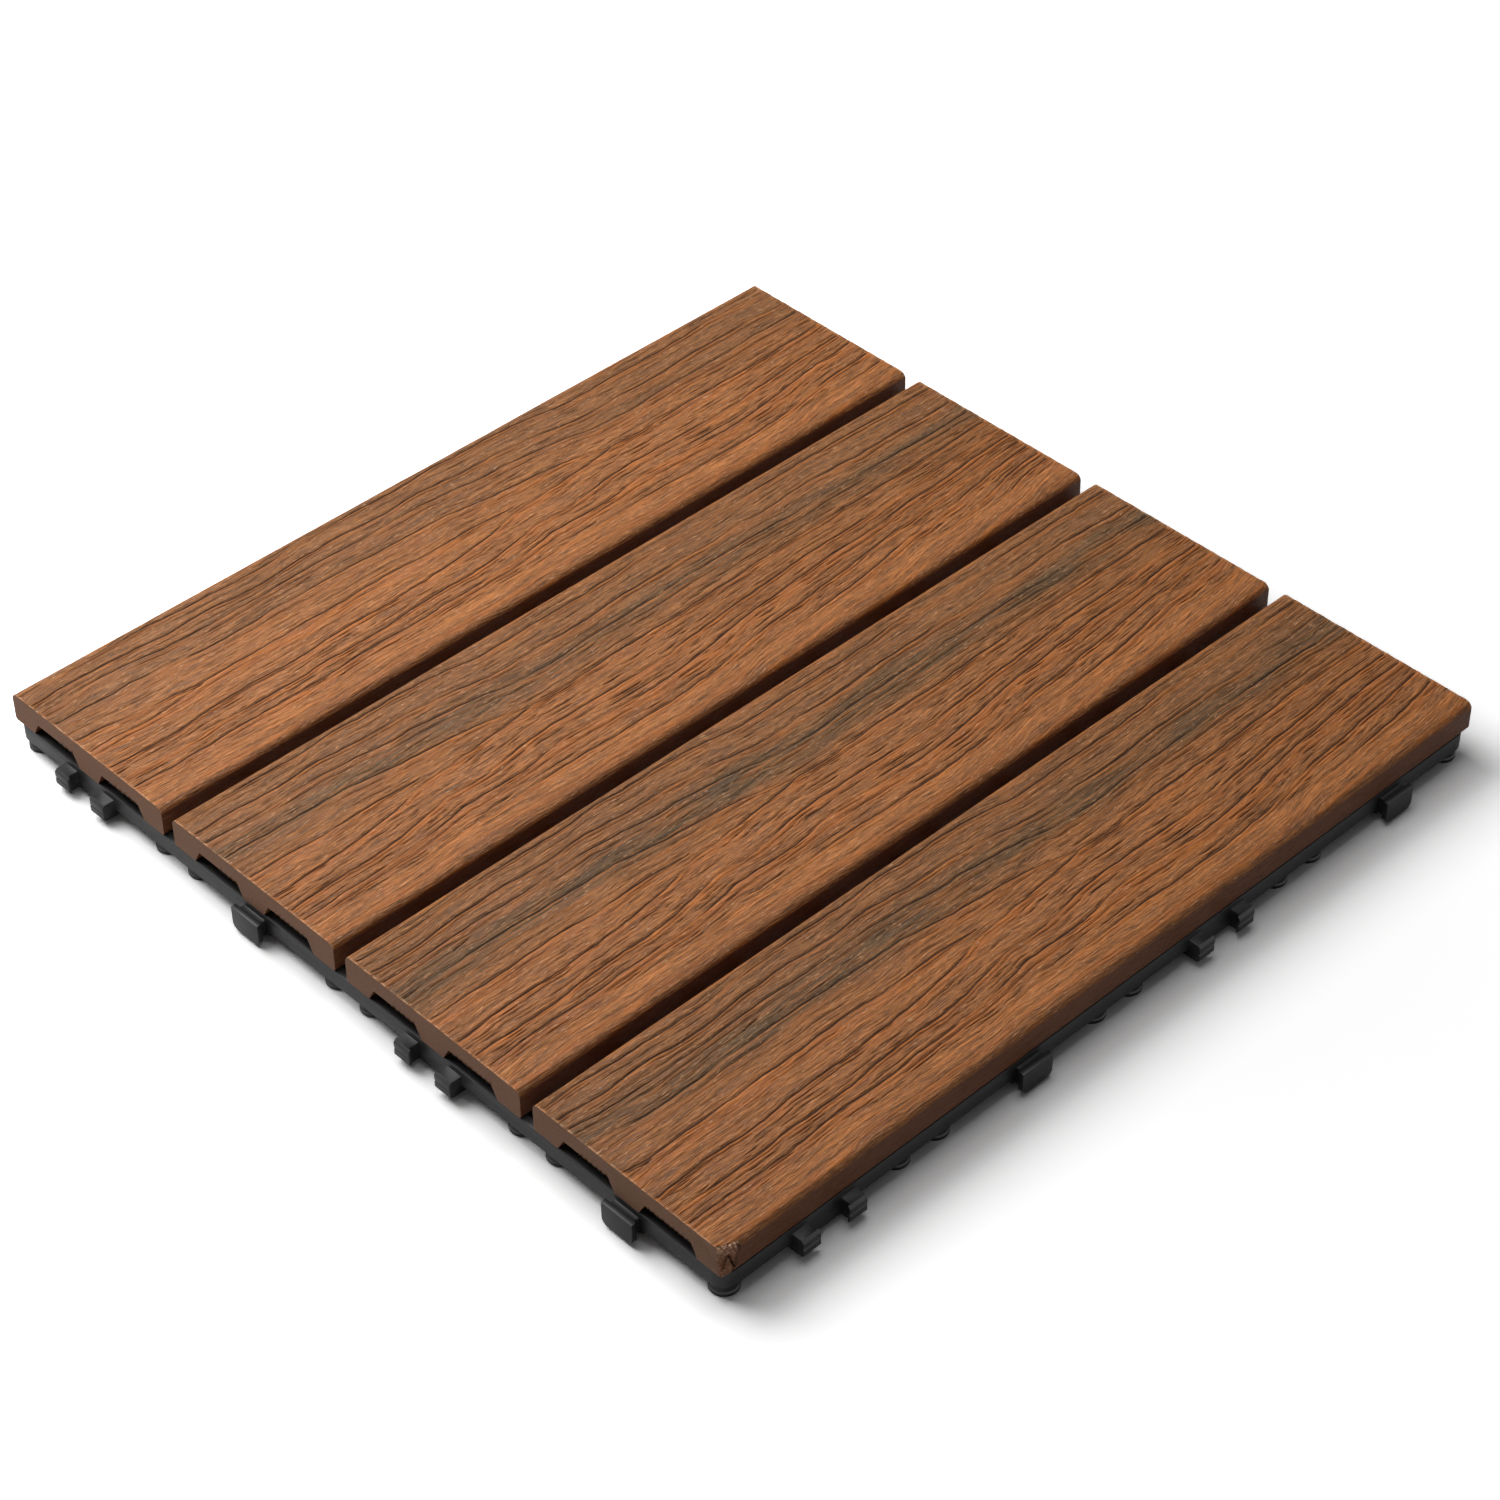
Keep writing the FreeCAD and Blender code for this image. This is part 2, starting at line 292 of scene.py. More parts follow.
lane = across
for patch_across, patch_along, reach in WANDERS:
    wander = patches(emboss, on_roller, (patch_across, patch_along, 1), 1.0)
    wander = add(emboss, MATH, [wander, reach, -reach / 2], operation="MULTIPLY_ADD")
    lane = add(emboss, MATH, [lane, wander], operation="ADD")
lean_length = add(emboss, MATH, [along, LEAN_START], operation="SUBTRACT")
lean_length = add(emboss, MATH, [lean_length, 0.0], operation="MAXIMUM")
lean = add(emboss, MAP_RANGE, [across, *LEAN_ACROSS, 0.0, LEAN], **SMOOTH)
lane = add(emboss, MATH, [lean_length, lean, lane], operation="MULTIPLY_ADD")

spread_lane = lane
extra_rings = 0.0
for tip_across, tip_along, tip_width in TIPS:
    past_tip = add(emboss, MATH, [tip_along, along], operation="SUBTRACT")
    past_tip = add(emboss, MATH, [past_tip, 0.0], operation="MAXIMUM")
    opening = add(emboss, MATH, [past_tip, -1 / TIP_ROUNDING], operation="MULTIPLY")
    opening = add(emboss, MATH, [opening], operation="EXPONENT")
    opening = add(emboss, MATH, [opening, -tip_width / 2, tip_width / 2], operation="MULTIPLY_ADD")
    from_tip = add(emboss, MATH, [spread_lane, tip_across], operation="SUBTRACT")

    wedge = add(emboss, MATH, [opening, 2.0, NARROWEST_WEDGE], operation="MULTIPLY_ADD")
    ring_share = add(emboss, MATH, [from_tip, opening], operation="ADD")
    ring_share = add(emboss, MATH, [ring_share, wedge], operation="DIVIDE", use_clamp=True)
    is_past = add(emboss, MATH, [past_tip, 0.0], operation="GREATER_THAN")
    extra_rings = add(emboss, MATH, [ring_share, is_past, extra_rings], operation="MULTIPLY_ADD")

    beside = add(emboss, MATH, [from_tip], operation="ABSOLUTE")
    beside = add(emboss, MATH, [beside, opening], operation="SUBTRACT")
    beside = add(emboss, MATH, [beside, 0.0], operation="MAXIMUM")
    room = add(emboss, MATH, [opening, -1 / SPREAD_WIDTH, 1.0], operation="MULTIPLY_ADD")
    beside = add(emboss, MATH, [beside, room], operation="DIVIDE")
    side = add(emboss, MATH, [from_tip], operation="SIGN")
    spread_lane = add(emboss, MATH, [beside, side, tip_across], operation="MULTIPLY_ADD")

# %% [markdown]
# ## Rings and their grooves
# The ring field is a number that grows by one from ring to ring. A line drawn at a fixed part of
# each ring would be wide where rings are wide, because the field grows slowly there. The next
# point of the section tells how fast it grows, which turns the distance from a line into
# millimetres. Each ring has a main line, and in places a late and an early one.

# %% Rings and their grooves
FIRST_RING, RING_CROWDING = -0.06, 1.8e-5
RING_WAVE, RING_WAVE_TURN = 0.1, 0.45
SLOWEST_GROWTH = 0.03
# Each line has a place in its ring, a share of the groove width, the patches of its strength,
# and the range of noise that its range of strength comes from
RING_LINES = {
    "main": (0.0, 1.0, (5, 60, 1), (0.32, 0.5, 0.5, 1.0)),
    "late": (-0.24, 0.8, (3, 34, 1), (0.42, 0.56, 0.0, 0.8)),
    "early": (-0.62, 0.8, (2, 22, 1), (0.46, 0.6, 0.0, 0.75)),
}

from_heart = add(emboss, MATH, [spread_lane, TIPS[-1][0]], operation="SUBTRACT")
crowding = add(emboss, MATH, [from_heart, from_heart], operation="MULTIPLY")
crowding = add(
    emboss, MATH, [crowding, RING_CROWDING, given["Ring Density"]], operation="MULTIPLY_ADD")
rings = add(emboss, MATH, [from_heart, crowding, FIRST_RING], operation="MULTIPLY_ADD")
wave = add(emboss, MATH, [from_heart, RING_WAVE_TURN], operation="MULTIPLY")
wave = add(emboss, MATH, [wave], operation="SINE")
rings = add(emboss, MATH, [wave, RING_WAVE, rings], operation="MULTIPLY_ADD")
rings = add(emboss, MATH, [rings, extra_rings], operation="ADD")

next_point = add(emboss, MATH, [add(emboss, "GeometryNodeInputIndex"), 1.0], operation="ADD")
next_rings = add(emboss, "GeometryNodeFieldAtIndex", {
    "Index": next_point, "Value": rings}, data_type="FLOAT", domain="POINT")
growth = add(emboss, MATH, [next_rings, rings], operation="SUBTRACT")
growth = add(emboss, MATH, [growth], operation="ABSOLUTE")
growth = add(emboss, MATH, [growth, GRAIN_STEP / MM], operation="DIVIDE")
growth = add(emboss, MATH, [growth, SLOWEST_GROWTH], operation="MAXIMUM")

groove = 0.0
strengths = {}
for line_name, (ring_place, width_share, sizes, strength_range) in RING_LINES.items():
    strength = patches(emboss, on_roller, sizes, 1.0)
    strength = add(emboss, MAP_RANGE, [strength, *strength_range], **SMOOTH)
    gap = add(emboss, MATH, [rings, ring_place], operation="ADD")
    gap = add(emboss, MATH, [gap, 0.5], operation="PINGPONG")
    gap = add(emboss, MATH, [gap, growth], operation="DIVIDE")
    half_width = add(emboss, MATH, [given["Groove Width"], width_share / 2], operation="MULTIPLY")
    line = add(emboss, MAP_RANGE, [gap, half_width, 0.0], **SMOOTH)
    line = add(emboss, MATH, [line, strength], operation="MULTIPLY")
    groove = add(emboss, MATH, [groove, line], operation="MAXIMUM")
    strengths[line_name] = strength
print(len(strengths), "lines in each ring")

# %% [markdown]
# ## Hairlines, the nick and where the roller doesn't reach
# Between the rings the roller also pressed short hairlines, mostly right of the middle, and one
# short nick beside the streak, which comes back on each slat. Lines are few in a band beside the
# right edge, and none goes over the rounded edges, so the groove field fades out with the slope.

# %% Hairlines, nick and edges
HAIRLINE_STEP, HAIRLINE_HALF_WIDTH = 1.7, 0.55
HAIRLINE_PATCH, HAIRLINE_NOISE = (1.1, 19, 1), (0.47, 0.62)
HAIRLINE_ACROSS = (14.0, 34.0, 0.5, 1.0)
NICK_ACROSS, NICK_ALONG, NICK_LENGTH, NICK_SLANT = 18.8, -112.0, 10.0, 0.13
NICK_SIDE = (0.5, 0.1)
EDGE_BAND = (60.0, 63.0, 64.8, 68.0)
BAND_GROOVES = 0.4
TOP_SLOPE = (0.02, 0.35)
GROOVE_SLOPE = (0.8, 0.98)

hairline = add(emboss, MATH, [spread_lane, HAIRLINE_STEP], operation="DIVIDE")
hairline = add(emboss, MATH, [hairline, 0.5], operation="PINGPONG")
hairline = add(emboss, MATH, [hairline, HAIRLINE_STEP], operation="MULTIPLY")
hairline = add(emboss, MAP_RANGE, [hairline, HAIRLINE_HALF_WIDTH, 0.0], **SMOOTH)
hairline_strength = patches(emboss, on_roller, HAIRLINE_PATCH, 1.0)
hairline_strength = add(emboss, MAP_RANGE, [hairline_strength, *HAIRLINE_NOISE], **SMOOTH)
hairline = add(emboss, MATH, [hairline, hairline_strength], operation="MULTIPLY")
more_on_right = add(emboss, MAP_RANGE, [across, *HAIRLINE_ACROSS], **SMOOTH)
hairline = add(emboss, MATH, [hairline, more_on_right], operation="MULTIPLY")
groove = add(emboss, MATH, [groove, hairline], operation="MAXIMUM")

along_nick = add(emboss, MATH, [along, NICK_ALONG], operation="SUBTRACT")
beside_nick = add(emboss, MATH, [along_nick, NICK_SLANT, across], operation="MULTIPLY_ADD")
beside_nick = add(emboss, MATH, [beside_nick, NICK_ACROSS], operation="SUBTRACT")
beside_nick = add(emboss, MATH, [beside_nick], operation="ABSOLUTE")
nick = add(emboss, MAP_RANGE, [beside_nick, *NICK_SIDE], **SMOOTH)
along_nick = add(emboss, MATH, [along_nick], operation="ABSOLUTE")
nick_end = add(emboss, MAP_RANGE, [along_nick, NICK_LENGTH / 2, NICK_LENGTH / 4], **SMOOTH)
nick = add(emboss, MATH, [nick, nick_end], operation="MULTIPLY")
groove = add(emboss, MATH, [groove, nick], operation="MAXIMUM")

band_start, band_full, band_fades, band_end = EDGE_BAND
# The band beside the right edge is also a painted highlight, and the part past it is painted shade
# before the rounded edge
into_band = add(emboss, MAP_RANGE, [across, band_start, band_full], **SMOOTH)
edge_shade = add(emboss, MAP_RANGE, [across, band_fades, band_end], **SMOOTH)
in_band = add(emboss, MAP_RANGE, [across, band_end, band_fades], **SMOOTH)
edge_highlight = add(emboss, MATH, [into_band, in_band], operation="MULTIPLY")
fewer = add(emboss, MAP_RANGE, [across, band_start, band_full, 1.0, BAND_GROOVES], **SMOOTH)
groove = add(emboss, MATH, [groove, fewer], operation="MULTIPLY")
normal = add(emboss, "GeometryNodeInputNormal").outputs[0]
facing = add(emboss, SEPARATE, [normal])
top = add(emboss, MAP_RANGE, [facing.outputs["Z"], *TOP_SLOPE], **SMOOTH)
on_flat = add(emboss, MAP_RANGE, [facing.outputs["Z"], *GROOVE_SLOPE], **SMOOTH)
groove = add(emboss, MATH, [groove, on_flat], operation="MULTIPLY")

# %% [markdown]
# ## Streaks of the extrusion
# Grey stock is fed into the brown one as the slat is extruded, and it comes out as a long ragged
# streak, with a little of it left of the streak, too. It isn't part of the roller's pattern, so
# its noise has the slat's own seed and lies differently on each slat.

# %% Grey streak
STREAK_WANDER, STREAK_WANDER_PATCH = 9.0, (16, 70, 1)
STREAK_CORE = 1.5
# Each raggedness has its patches, its detail, and its ranges of noise and of strength
STREAK_RAGGEDNESS = [
    ((7, 60, 1), 2.0, (0.25, 0.5, 0.6, 1.0)),
    ((1.0, 26, 1), 3.0, (0.38, 0.58, 0.5, 1.0)),
]
LEFT_FADE, LEFT_SHARE = 22.0, 0.36

from_streak = add(emboss, MATH, [lane, given["Streak Place"]], operation="SUBTRACT")
wander = patches(emboss, on_slat, STREAK_WANDER_PATCH, 1.0)
wander = add(
    emboss, MATH, [wander, STREAK_WANDER, -STREAK_WANDER / 2], operation="MULTIPLY_ADD")
from_streak = add(emboss, MATH, [from_streak, wander], operation="ADD")
from_streak = add(emboss, MATH, [from_streak], operation="ABSOLUTE")
streak = add(emboss, MAP_RANGE, [from_streak, given["Streak Width"], STREAK_CORE], **SMOOTH)
streak = add(emboss, MATH, [streak, given["Streak Strength"]], operation="MULTIPLY")
for sizes, detail, ranges in STREAK_RAGGEDNESS:
    ragged = patches(emboss, on_slat, sizes, detail)
    ragged = add(emboss, MAP_RANGE, [ragged, *ranges], **SMOOTH)
    streak = add(emboss, MATH, [streak, ragged], operation="MULTIPLY")
left_end = add(emboss, MATH, [given["Streak Place"], LEFT_FADE], operation="ADD")
left_of_streak = add(
    emboss, MAP_RANGE, [across, left_end, given["Streak Place"], 0.0, LEFT_SHARE], **SMOOTH)
streak = add(emboss, MATH, [streak, left_of_streak], operation="MAXIMUM")
streak = add(emboss, MATH, [streak, top], operation="MULTIPLY")

# %% [markdown]
# ## Smooth and fibrous bands, and the tone of the top
# Behind its line a ring is smooth, and in front of the next line it is fibrous. The middle of the
# slat is paler. The band beside the right edge is painted paler and more fibrous, as a painted
# highlight, and its last few millimetres are painted darker, as painted shade towards the rounded
# edge. Each main line gets a painted highlight on its shoulder, where the relief would catch the
# light. These could be painted in the material, but only the tree knows where the rings are, so it
# works them out and stores them.

# %% Bands and tone
FIBROUS_PATCH, FIBROUS_SWING, FIBROUS_START = (1.5, 12, 1), 0.3, (0.3, 0.52)
# Share of fibres in the band beside the right edge, which makes its painted highlight paler and greyer
EDGE_HIGHLIGHT_FIBRES = 0.7
MIDDLE, MIDDLE_REACH, MIDDLE_TONE = 33.0, (12.0, 4.0), 0.06
# Strength of the painted highlight on the band beside the right edge, and of the painted shade past it
EDGE_LIGHT_AND_SHADE_TONE = 0.14
# Painted highlight on the smooth side of each main line
CREST_HIGHLIGHT_START, CREST_HIGHLIGHT_END, CREST_HIGHLIGHT = (0.3, 0.6), (1.5, 0.7), 0.2

within_ring = add(emboss, MATH, [rings], operation="FRACT")
swing = patches(emboss, on_roller, FIBROUS_PATCH, 1.0)
swing = add(emboss, MATH, [swing, FIBROUS_SWING, -FIBROUS_SWING / 2], operation="MULTIPLY_ADD")
fibrous = add(emboss, MATH, [within_ring, swing], operation="ADD")
fibrous = add(emboss, MAP_RANGE, [fibrous, *FIBROUS_START], **SMOOTH)
# The band beside the right edge is made fibrous for its painted highlight
highlight_fibres = add(emboss, MATH, [edge_highlight, EDGE_HIGHLIGHT_FIBRES], operation="MULTIPLY")
fibrous = add(emboss, MATH, [fibrous, highlight_fibres], operation="MAXIMUM")

from_middle = add(emboss, MATH, [across, MIDDLE], operation="SUBTRACT")
from_middle = add(emboss, MATH, [from_middle], operation="ABSOLUTE")
tone = add(emboss, MAP_RANGE, [from_middle, *MIDDLE_REACH, 1.0, 1.0 + MIDDLE_TONE], **SMOOTH)
# Painted highlight on the band beside the right edge, then painted shade on its last few millimetres
tone = add(emboss, MATH, [edge_highlight, EDGE_LIGHT_AND_SHADE_TONE, tone], operation="MULTIPLY_ADD")
tone = add(emboss, MATH, [edge_shade, -EDGE_LIGHT_AND_SHADE_TONE, tone], operation="MULTIPLY_ADD")
# Painted highlight on the smooth side of each main line, where the relief would catch the light
from_line = add(emboss, MATH, [within_ring, growth], operation="DIVIDE")
crest_highlight = add(emboss, MAP_RANGE, [from_line, *CREST_HIGHLIGHT_START], **SMOOTH)
crest_highlight_end = add(emboss, MAP_RANGE, [from_line, *CREST_HIGHLIGHT_END], **SMOOTH)
crest_highlight = add(emboss, MATH, [crest_highlight, crest_highlight_end], operation="MULTIPLY")
crest_highlight = add(emboss, MATH, [crest_highlight, strengths["main"]], operation="MULTIPLY")
tone = add(emboss, MATH, [crest_highlight, CREST_HIGHLIGHT, tone], operation="MULTIPLY_ADD")

# %% [markdown]
# ## Press the relief
# The relief is at most 0.6 mm deep. The grooves go deepest, the fibrous bands lie a little lower
# than the smooth ones, and fine fibres cover both. Every field is stored before the points move,
# as moved points would bend it. Then the tree hands out the finishes: the two end faces are sawn.

# %% Store the fields, press the relief and hand out the finishes
FIBRE_SINK = 0.06
FIBRE_RELIEF, FIBRE_RELIEF_PATCH = 0.16, (0.85, 15.0, 1)
SMOOTH_RELIEF_SHARE = 0.6
END_FACING = 0.9

slat_flow = blank
stored_fields = {
    "groove": groove, "fibrous": fibrous, "lane": lane, "top": top, "streak": streak, "tone": tone,
}
for field_name, field in stored_fields.items():
    slat_flow = add(emboss, "GeometryNodeStoreNamedAttribute", {
        "Geometry": slat_flow, "Name": field_name, "Value": field},
        data_type="FLOAT", domain="POINT")

on_lane = add(emboss, COMBINE, [lane, along])
relief = patches(emboss, on_lane, FIBRE_RELIEF_PATCH, 1.0)
relief_share = add(emboss, MAP_RANGE, [fibrous, 0.0, 1.0, SMOOTH_RELIEF_SHARE, 1.0], **SMOOTH)
relief = add(emboss, MATH, [relief, relief_share], operation="MULTIPLY")
sink = add(emboss, MATH, [fibrous, FIBRE_SINK], operation="MULTIPLY")
relief = add(emboss, MATH, [relief, FIBRE_RELIEF, sink], operation="MULTIPLY_ADD")
relief = add(emboss, MATH, [relief, top], operation="MULTIPLY")
press = add(emboss, MATH, [groove, given["Groove Depth"], relief], operation="MULTIPLY_ADD")
press = add(emboss, MATH, [press, -MM], operation="MULTIPLY")
slat_flow = add(emboss, "GeometryNodeSetPosition", {
    "Geometry": slat_flow, "Offset": add(emboss, COMBINE, {"Z": press})})
slat_flow = add(emboss, "GeometryNodeRealizeInstances", {"Geometry": slat_flow})
slat_flow = add(emboss, "GeometryNodeSetMaterial", {
    "Geometry": slat_flow, "Material": given["Top Finish"]})
is_end = add(emboss, MATH, [facing.outputs["Y"]], operation="ABSOLUTE")
is_end = add(emboss, MATH, [is_end, END_FACING], operation="GREATER_THAN")
slat_flow = add(emboss, "GeometryNodeSetMaterial", {
    "Geometry": slat_flow, "Selection": is_end, "Material": given["Sawn Finish"]})
add(emboss, "NodeGroupOutput", [slat_flow])
print("emboss tree of", len(emboss.nodes), "nodes")

# %% [markdown]
# ## Wood plastic composite
# The slats are extruded wood plastic composite: wood flour in a polymer. The top is dull and a
# little waxy, which gives the eye a weak, broad sheen. Close up it is made of long reeds, short
# fibres and single pale flecks of wood fibre, all in line with the grain, and the flecks are painted
# brighter still, as painted glints. The saw left pale torn fibres along both ends, painted paler
# still as a painted highlight on the edge. The grooves are painted near black: the grain's dark
# line together with painted shade inside them. A picture texture could hold all that. Noise that
# is stretched along the stored lanes needs no picture, never repeats, and bends with the grooves
# beside it. The sides keep the darker skin of the extrusion. Sizes here are in millimetres.

# %% Finish of the embossed top and the sides
COMPOSITE_SMOOTH = "#9F5E29"
COMPOSITE_FIBROUS = "#9D6334"
STREAK_SMOOTH = "#5E4222"
STREAK_FIBROUS = "#61472A"
# Near black: the grain's dark line and painted shade inside the grooves
GROOVE_LINE_AND_SHADE = "#1E0F06"
# Pale wood fibre painted brighter, as painted glints in the flecks and a painted highlight along the
# sawn ends
PALE_FIBRE_AND_GLINT = "#D4A47A"
COMPOSITE_SKIN = "#72452A"
FIBRE_WIDTH, FIBRE_LENGTH = 0.4, 3.8
REED_WIDTH, REED_LENGTH = 0.7, 13.0
CLUMP_WIDTH, CLUMP_LENGTH = 1.4286, 20.0
GLINT_FLECK_WIDTH, GLINT_FLECK_LENGTH = 0.36, 2.6
FIBRE_BUMP = 0.25
# Each range is what a pattern gives and what is made of it, from low to high
FIBRE_RANGE = (0.36, 0.64, -1.0, 1.0)
FIBRE_REACH, FIBROUS_REACH = 0.18, 0.14
REED_RANGE = (0.34, 0.66, 0.7, 1.3)
CLUMP_RANGE = (0.3, 0.7, 0.86, 1.14)
GLINT_FLECK_RANGE = (0.64, 0.74, 0.0, 0.6)
# Pale torn fibres near each end, painted paler as a painted highlight on the edge
BURR_AND_EDGE_GLINT_RANGE = (149.3, 149.6, 0.0, 0.5)
BURR_AND_GLINT_CLUMPS = (0.42, 0.6)
GROOVE_LINE_AND_SHADE_RANGE = (0.42, 0.92, 0.0, 0.95)
ROUGHNESS_RANGE = (0.0, 1.0, 0.4, 0.85)

composite = new_material("wood_plastic_composite")
tree = composite.node_tree
where = add(tree, "ShaderNodeTexCoord").outputs["Object"]
where_mm = add(tree, VECTOR_MATH, {0: where, "Scale": 1 / MM}, operation="SCALE")
where_parts = add(tree, SEPARATE, [where_mm])
stored = {
    name: add(tree, "ShaderNodeAttribute", attribute_name=name).outputs["Fac"]
    for name in stored_fields
}
on_lane = add(tree, COMBINE, [stored["lane"], where_parts.outputs["Y"], where_parts.outputs["Z"]])
fibre = patches(tree, on_lane, (FIBRE_WIDTH, FIBRE_LENGTH, FIBRE_WIDTH), 2.0, 0.6)
reed = patches(tree, on_lane, (REED_WIDTH, REED_LENGTH, REED_WIDTH), 2.0, 0.6)
clump = patches(tree, on_lane, (CLUMP_WIDTH, CLUMP_LENGTH, CLUMP_WIDTH), 2.0)
glint_fleck = patches(tree, on_lane, (GLINT_FLECK_WIDTH, GLINT_FLECK_LENGTH, GLINT_FLECK_WIDTH), 1.0)

smooth_tone = add(tree, MIX, {
    "Factor": stored["streak"], "A": linear(COMPOSITE_SMOOTH), "B": linear(STREAK_SMOOTH)}, **COLOUR)
fibrous_tone = add(tree, MIX, {
    "Factor": stored["streak"], "A": linear(COMPOSITE_FIBROUS), "B": linear(STREAK_FIBROUS)}, **COLOUR)
tone = add(tree, MIX, {"Factor": stored["fibrous"], "A": smooth_tone, "B": fibrous_tone}, **COLOUR)

# Reeds, fibres and clumps change how pale the tone is, fibres more so in fibrous bands
fibre_swing = add(tree, MAP_RANGE, [fibre, *FIBRE_RANGE])
fibre_reach = add(
    tree, MATH, [stored["fibrous"], FIBROUS_REACH, FIBRE_REACH], operation="MULTIPLY_ADD")
reed_tone = add(tree, MAP_RANGE, [reed, *REED_RANGE])
strand = add(tree, MATH, [fibre_swing, fibre_reach, reed_tone], operation="MULTIPLY_ADD")
clump_tone = add(tree, MAP_RANGE, [clump, *CLUMP_RANGE])
shade = add(tree, MATH, [strand, clump_tone], operation="MULTIPLY")
shade = add(tree, MATH, [shade, stored["tone"]], operation="MULTIPLY")
tone = add(tree, VECTOR_MATH, {0: tone, "Scale": shade}, operation="SCALE")

# Pale flecks of fibre painted as glints, where fibres would catch the light
glint_fleck_share = add(tree, MAP_RANGE, [glint_fleck, *GLINT_FLECK_RANGE])
tone = add(tree, MIX, {"Factor": glint_fleck_share, "A": tone, "B": linear(PALE_FIBRE_AND_GLINT)}, **COLOUR)
# Pale torn fibres along both ends, with a painted highlight on the edge
from_middle = add(tree, MATH, [where_parts.outputs["Y"]], operation="ABSOLUTE")
burr_and_edge_glint = add(tree, MAP_RANGE, [from_middle, *BURR_AND_EDGE_GLINT_RANGE])
burr_and_glint_patches = add(tree, MAP_RANGE, [clump, *BURR_AND_GLINT_CLUMPS])
burr_and_edge_glint = add(tree, MATH, [burr_and_edge_glint, burr_and_glint_patches], operation="MULTIPLY")
tone = add(tree, MIX, {"Factor": burr_and_edge_glint, "A": tone, "B": linear(PALE_FIBRE_AND_GLINT)}, **COLOUR)
# Grooves painted near black, the grain's dark line together with painted shade inside them
groove_line_and_shade_share = add(tree, MAP_RANGE, [stored["groove"], *GROOVE_LINE_AND_SHADE_RANGE])
tone = add(tree, MIX, {"Factor": groove_line_and_shade_share, "A": tone, "B": linear(GROOVE_LINE_AND_SHADE)}, **COLOUR)
skin = add(tree, VECTOR_MATH, {0: linear(COMPOSITE_SKIN)[:3], "Scale": clump_tone}, operation="SCALE")
tone = add(tree, MIX, {"Factor": stored["top"], "A": skin, "B": tone}, **COLOUR)

# Grooves keep the rough skin of the roller, so the sheen leaves them dark
roughness = add(tree, MAP_RANGE, [stored["groove"], *ROUGHNESS_RANGE])
bump = add(tree, "ShaderNodeBump", {"Height": strand, "Strength": 1.0, "Distance": FIBRE_BUMP * MM})
surface = add(tree, "ShaderNodeBsdfPrincipled", {
    "Base Color": tone, "Roughness": roughness, "IOR": 1.5, "Specular IOR Level": 0.2,
    "Normal": bump})
add(tree, "ShaderNodeOutputMaterial", {"Surface": surface})

# %% [markdown]
# ## Sawn ends
# The slats are cut to length with a saw, which leaves their ends greyer, rough and with no grain.
# Saw marks on composite are too fine to show here, so even grit does for them.

# %% Finish of the sawn ends
COMPOSITE_SAWN = "#7F5E4B"
GRIT_SIZE = 0.6 * MM
GRIT_BUMP = 0.1 * MM
GRIT_RANGE = (0.3, 0.7, 0.85, 1.15)

sawn = new_material("sawn_composite")
tree = sawn.node_tree
where = add(tree, "ShaderNodeTexCoord").outputs["Object"]
grit = patches(tree, where, [GRIT_SIZE] * 3, 3.0)
grit_tone = add(tree, MAP_RANGE, [grit, *GRIT_RANGE])
tone = add(tree, VECTOR_MATH, {0: linear(COMPOSITE_SAWN)[:3], "Scale": grit_tone}, operation="SCALE")
bump = add(tree, "ShaderNodeBump", {"Height": grit, "Strength": 0.5, "Distance": GRIT_BUMP})
surface = add(tree, "ShaderNodeBsdfPrincipled", {
    "Base Color": tone, "Roughness": 0.75, "IOR": 1.5, "Specular IOR Level": 0.2, "Normal": bump})
add(tree, "ShaderNodeOutputMaterial", {"Surface": surface})

# %% [markdown]
# ## Four slats from one tree
# The four slats could be copies, but on the real tile each was cut from another place of a long
# board. One set of inputs serves them all, and each slat then changes a few: where the roller's
# pattern starts, where its streak runs and how strong it is. The result is a plain mesh.

# %% Make the slats
EMBOSS = {
    "Ring Density": 0.098, "Groove Width": 1.8, "Groove Depth": 0.42, "Streak Width": 11.0,
    "Top Finish": composite, "Sawn Finish": sawn,
}
OWN_EMBOSS = {
    "slat_1": {"Roller Start": 0.0556, "Streak Place": 19.0, "Streak Strength": 0.5, "Seed": 1.0},
    "slat_2": {"Roller Start": -0.046, "Streak Place": 23.0, "Streak Strength": 0.9, "Seed": 2.0},
    "slat_3": {"Roller Start": -0.013, "Streak Place": 23.0, "Streak Strength": 1.0, "Seed": 3.0},
    "slat_4": {"Roller Start": 0.022, "Streak Place": 20.0, "Streak Strength": 0.95, "Seed": 4.0},
}
SLAT_SHARP_ANGLE = math.radians(50)


def embossed_slat(node_name):
    """Mesh object of one slat in its place."""
    low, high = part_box(node_name)
    section = slat_section(low, high)
    # The sweep along +Y lays the section's y downwards, so heights go in as minus z
    points = [(x, -z, 0) for x, z in section]
    edges = [(index, (index + 1) % len(points)) for index in range(len(points))]
    mesh = bpy.data.meshes.new(node_name + "_section")
    mesh.from_pydata(points, edges, [])
    piece = in_scene("embossed_" + node_name, mesh)
    run_tree(piece, emboss, emboss_ids, {
        "Front": low.y, "Back": high.y, "Left": low.x,
        "Rows": round((high.y - low.y) / ROW_STEP) + 1, **EMBOSS, **OWN_EMBOSS[node_name],
    })
    piece.data.set_sharp_from_angle(angle=SLAT_SHARP_ANGLE)
    return piece


slat_pieces = {name: embossed_slat(name) for name in SLATS}
for piece in slat_pieces.values():
    print(piece.name, len(piece.data.polygons), "faces")

# %% [markdown]
# ## Finish of the break
# Fresh composite is paler than its skin. Pale crumbs lie towards the top of the break, and further
# down it is brown; all of it is dull, because no polymer skin covers it. Crumbs are a little over
# half a millimetre, which noise of that size shows well enough.

